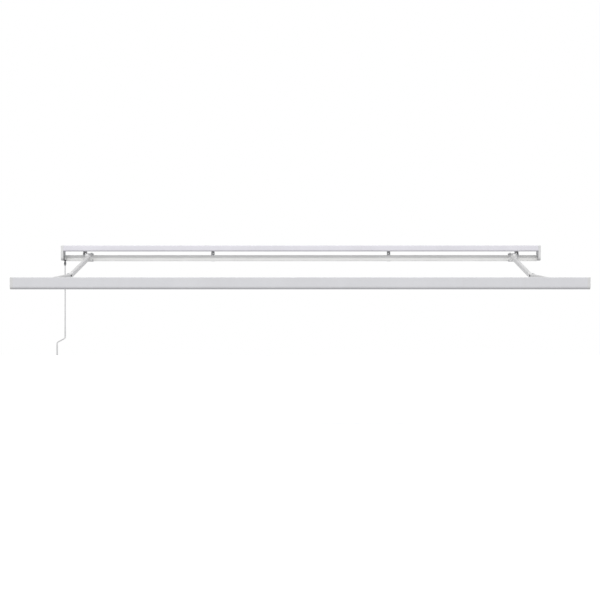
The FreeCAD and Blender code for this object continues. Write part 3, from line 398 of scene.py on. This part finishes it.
def helix(node, wire, name, body):
    """A close-wound tension spring with flat-capped ends, in the room its CAD solid holds."""
    mid, d, half, rad = axis_of(node)
    side = d.orthogonal().normalized()
    up = d.cross(side)
    r = rad - wire / 2 - 0.0002
    pitch = wire * 1.28
    length = 2 * half - wire * 1.2
    turns = int(length / pitch)
    per, ring = 18, 7
    bm = bmesh.new()
    rows = []
    n = turns * per
    for i in range(n + 1):
        a = 2 * math.pi * i / per
        s = -length / 2 + length * i / n
        rr = r
        centre = mid + d * s + side * (math.cos(a) * rr) + up * (math.sin(a) * rr)
        outw = side * math.cos(a) + up * math.sin(a)
        tang = (up * math.cos(a) - side * math.sin(a)).normalized()
        nrm = tang.cross(outw)
        rows.append([bm.verts.new(centre + outw * (math.cos(b) * wire / 2) + nrm * (math.sin(b) * wire / 2))
                     for b in (2 * math.pi * j / ring for j in range(ring))])
    for p, q in zip(rows, rows[1:]):
        for j in range(ring):
            bm.faces.new((p[j], p[(j + 1) % ring], q[(j + 1) % ring], q[j]))
    bm.faces.new(rows[0][::-1])
    bm.faces.new(rows[-1])
    bmesh.ops.recalc_face_normals(bm, faces=bm.faces)
    return piece(name, bm, M["spring_steel"], body, node)


for side in ("left", "right"):
    helix("arm_spring_" + side, 0.0036, "coil_spring_" + side, "upper_arm_" + side)


# ---------------------------------------------------------------- floor, light, camera
def floor():
    bm = bmesh.new()
    n = 24
    z = -2.45
    grid = [[bm.verts.new((-26 + 52 * i / n, -34 + 62 * j / n, z)) for i in range(n + 1)] for j in range(n + 1)]
    for j in range(n):
        for i in range(n):
            bm.faces.new((grid[j][i], grid[j][i + 1], grid[j + 1][i + 1], grid[j + 1][i]))
    me = bpy.data.meshes.new("floor")
    bm.to_mesh(me)
    bm.free()
    o = bpy.data.objects.new("floor", me)
    bpy.context.scene.collection.objects.link(o)
    g = Graph("floor_pale")
    c = g.mix(g.span(g.noise(0.6, 3, 0.5), 0.3, 0.7), (0.94, 0.94, 0.94), (0.97, 0.97, 0.97))
    r = g.span(g.noise(4, 3, 0.5), 0.3, 0.7, 0.75, 0.85)
    g.bsdf.inputs["Emission Color"].default_value = (1, 1, 1, 1)
    g.bsdf.inputs["Emission Strength"].default_value = 0.26
    mat = g.done(c, r)
    under = g.add("ShaderNodeNewGeometry")          # open from below, so the underside can be looked at
    clear = g.add("ShaderNodeBsdfTransparent")
    both = g.add("ShaderNodeMixShader")
    g.link(under.outputs["Backfacing"], both.inputs[0])
    g.link(g.bsdf.outputs[0], both.inputs[1])
    g.link(clear.outputs[0], both.inputs[2])
    g.link(both.outputs[0], g.out.inputs[0])
    me.materials.append(mat)
    o.visible_diffuse = False
    o.visible_glossy = False
    return o


floor()

scene = bpy.context.scene
world = bpy.data.worlds.new("studio")
scene.world = world
world.use_nodes = True
wn = world.node_tree
wn.nodes.clear()
wo = wn.nodes.new("ShaderNodeOutputWorld")
fill = wn.nodes.new("ShaderNodeBackground")
seen = wn.nodes.new("ShaderNodeBackground")
pick = wn.nodes.new("ShaderNodeMixShader")
ray = wn.nodes.new("ShaderNodeLightPath")
sky = wn.nodes.new("ShaderNodeTexCoord")
part = wn.nodes.new("ShaderNodeSeparateXYZ")
tall = wn.nodes.new("ShaderNodeMapRange")
ramp = wn.nodes.new("ShaderNodeValToRGB")
tall.inputs["From Min"].default_value = -1.0
tall.inputs["From Max"].default_value = 1.0
stops = ramp.color_ramp.elements
stops[0].position, stops[0].color = 0.0, (0.34, 0.34, 0.35, 1)
stops[1].position, stops[1].color = 1.0, (0.60, 0.605, 0.62, 1)
for at, c in ((0.30, (0.46, 0.46, 0.47)), (0.50, (0.86, 0.865, 0.885)), (0.70, (0.80, 0.805, 0.825))):
    stop = stops.new(at)
    stop.color = (*c, 1)
fill.inputs[1].default_value = 1.0
seen.inputs[0].default_value = (1, 1, 1, 1)
seen.inputs[1].default_value = 1.0
wn.links.new(sky.outputs["Generated"], part.inputs[0])
wn.links.new(part.outputs["Z"], tall.inputs["Value"])
wn.links.new(tall.outputs[0], ramp.inputs[0])
wn.links.new(ramp.outputs[0], fill.inputs[0])
wn.links.new(ray.outputs["Is Camera Ray"], pick.inputs[0])
wn.links.new(fill.outputs[0], pick.inputs[1])
wn.links.new(seen.outputs[0], pick.inputs[2])
wn.links.new(pick.outputs[0], wo.inputs[0])


def area(name, at, aim, size, power, colour=(1, 1, 1)):
    l = bpy.data.lights.new(name, "AREA")
    l.shape = "RECTANGLE"
    l.size, l.size_y = size
    l.energy = power
    l.color = colour
    o = bpy.data.objects.new(name, l)
    bpy.context.scene.collection.objects.link(o)
    o.location = at
    o.rotation_euler = (Vector(aim) - Vector(at)).to_track_quat("-Z", "Y").to_euler()
    return o


sun = bpy.data.lights.new("key", "SUN")
sun.energy = 0.95
sun.angle = math.radians(5.0)
sun.color = (1.0, 0.995, 0.985)
key = bpy.data.objects.new("key", sun)
scene.collection.objects.link(key)
key.rotation_euler = Vector((0.05, 0.788, -0.616)).to_track_quat("-Z", "Y").to_euler()
area("soft_left", (-9.0, -8.0, 3.0), (0, -1.4, -0.3), (5, 4), 50, (0.98, 0.985, 1.0))

scene.view_settings.view_transform = "Standard"
scene.view_settings.look = "None"
scene.view_settings.exposure = 0.0
scene.view_settings.gamma = 1.0

cam = bpy.data.cameras.new("camera")
cam.sensor_width = 36.0
cam.lens = 83.52
cam.clip_end = 200.0
eye = bpy.data.objects.new("camera", cam)
scene.collection.objects.link(eye)
eye.location = (0.0438, -17.585, -0.6165)
eye.rotation_euler = (math.radians(90.0), 0.0, math.radians(0.173))
scene.camera = eye
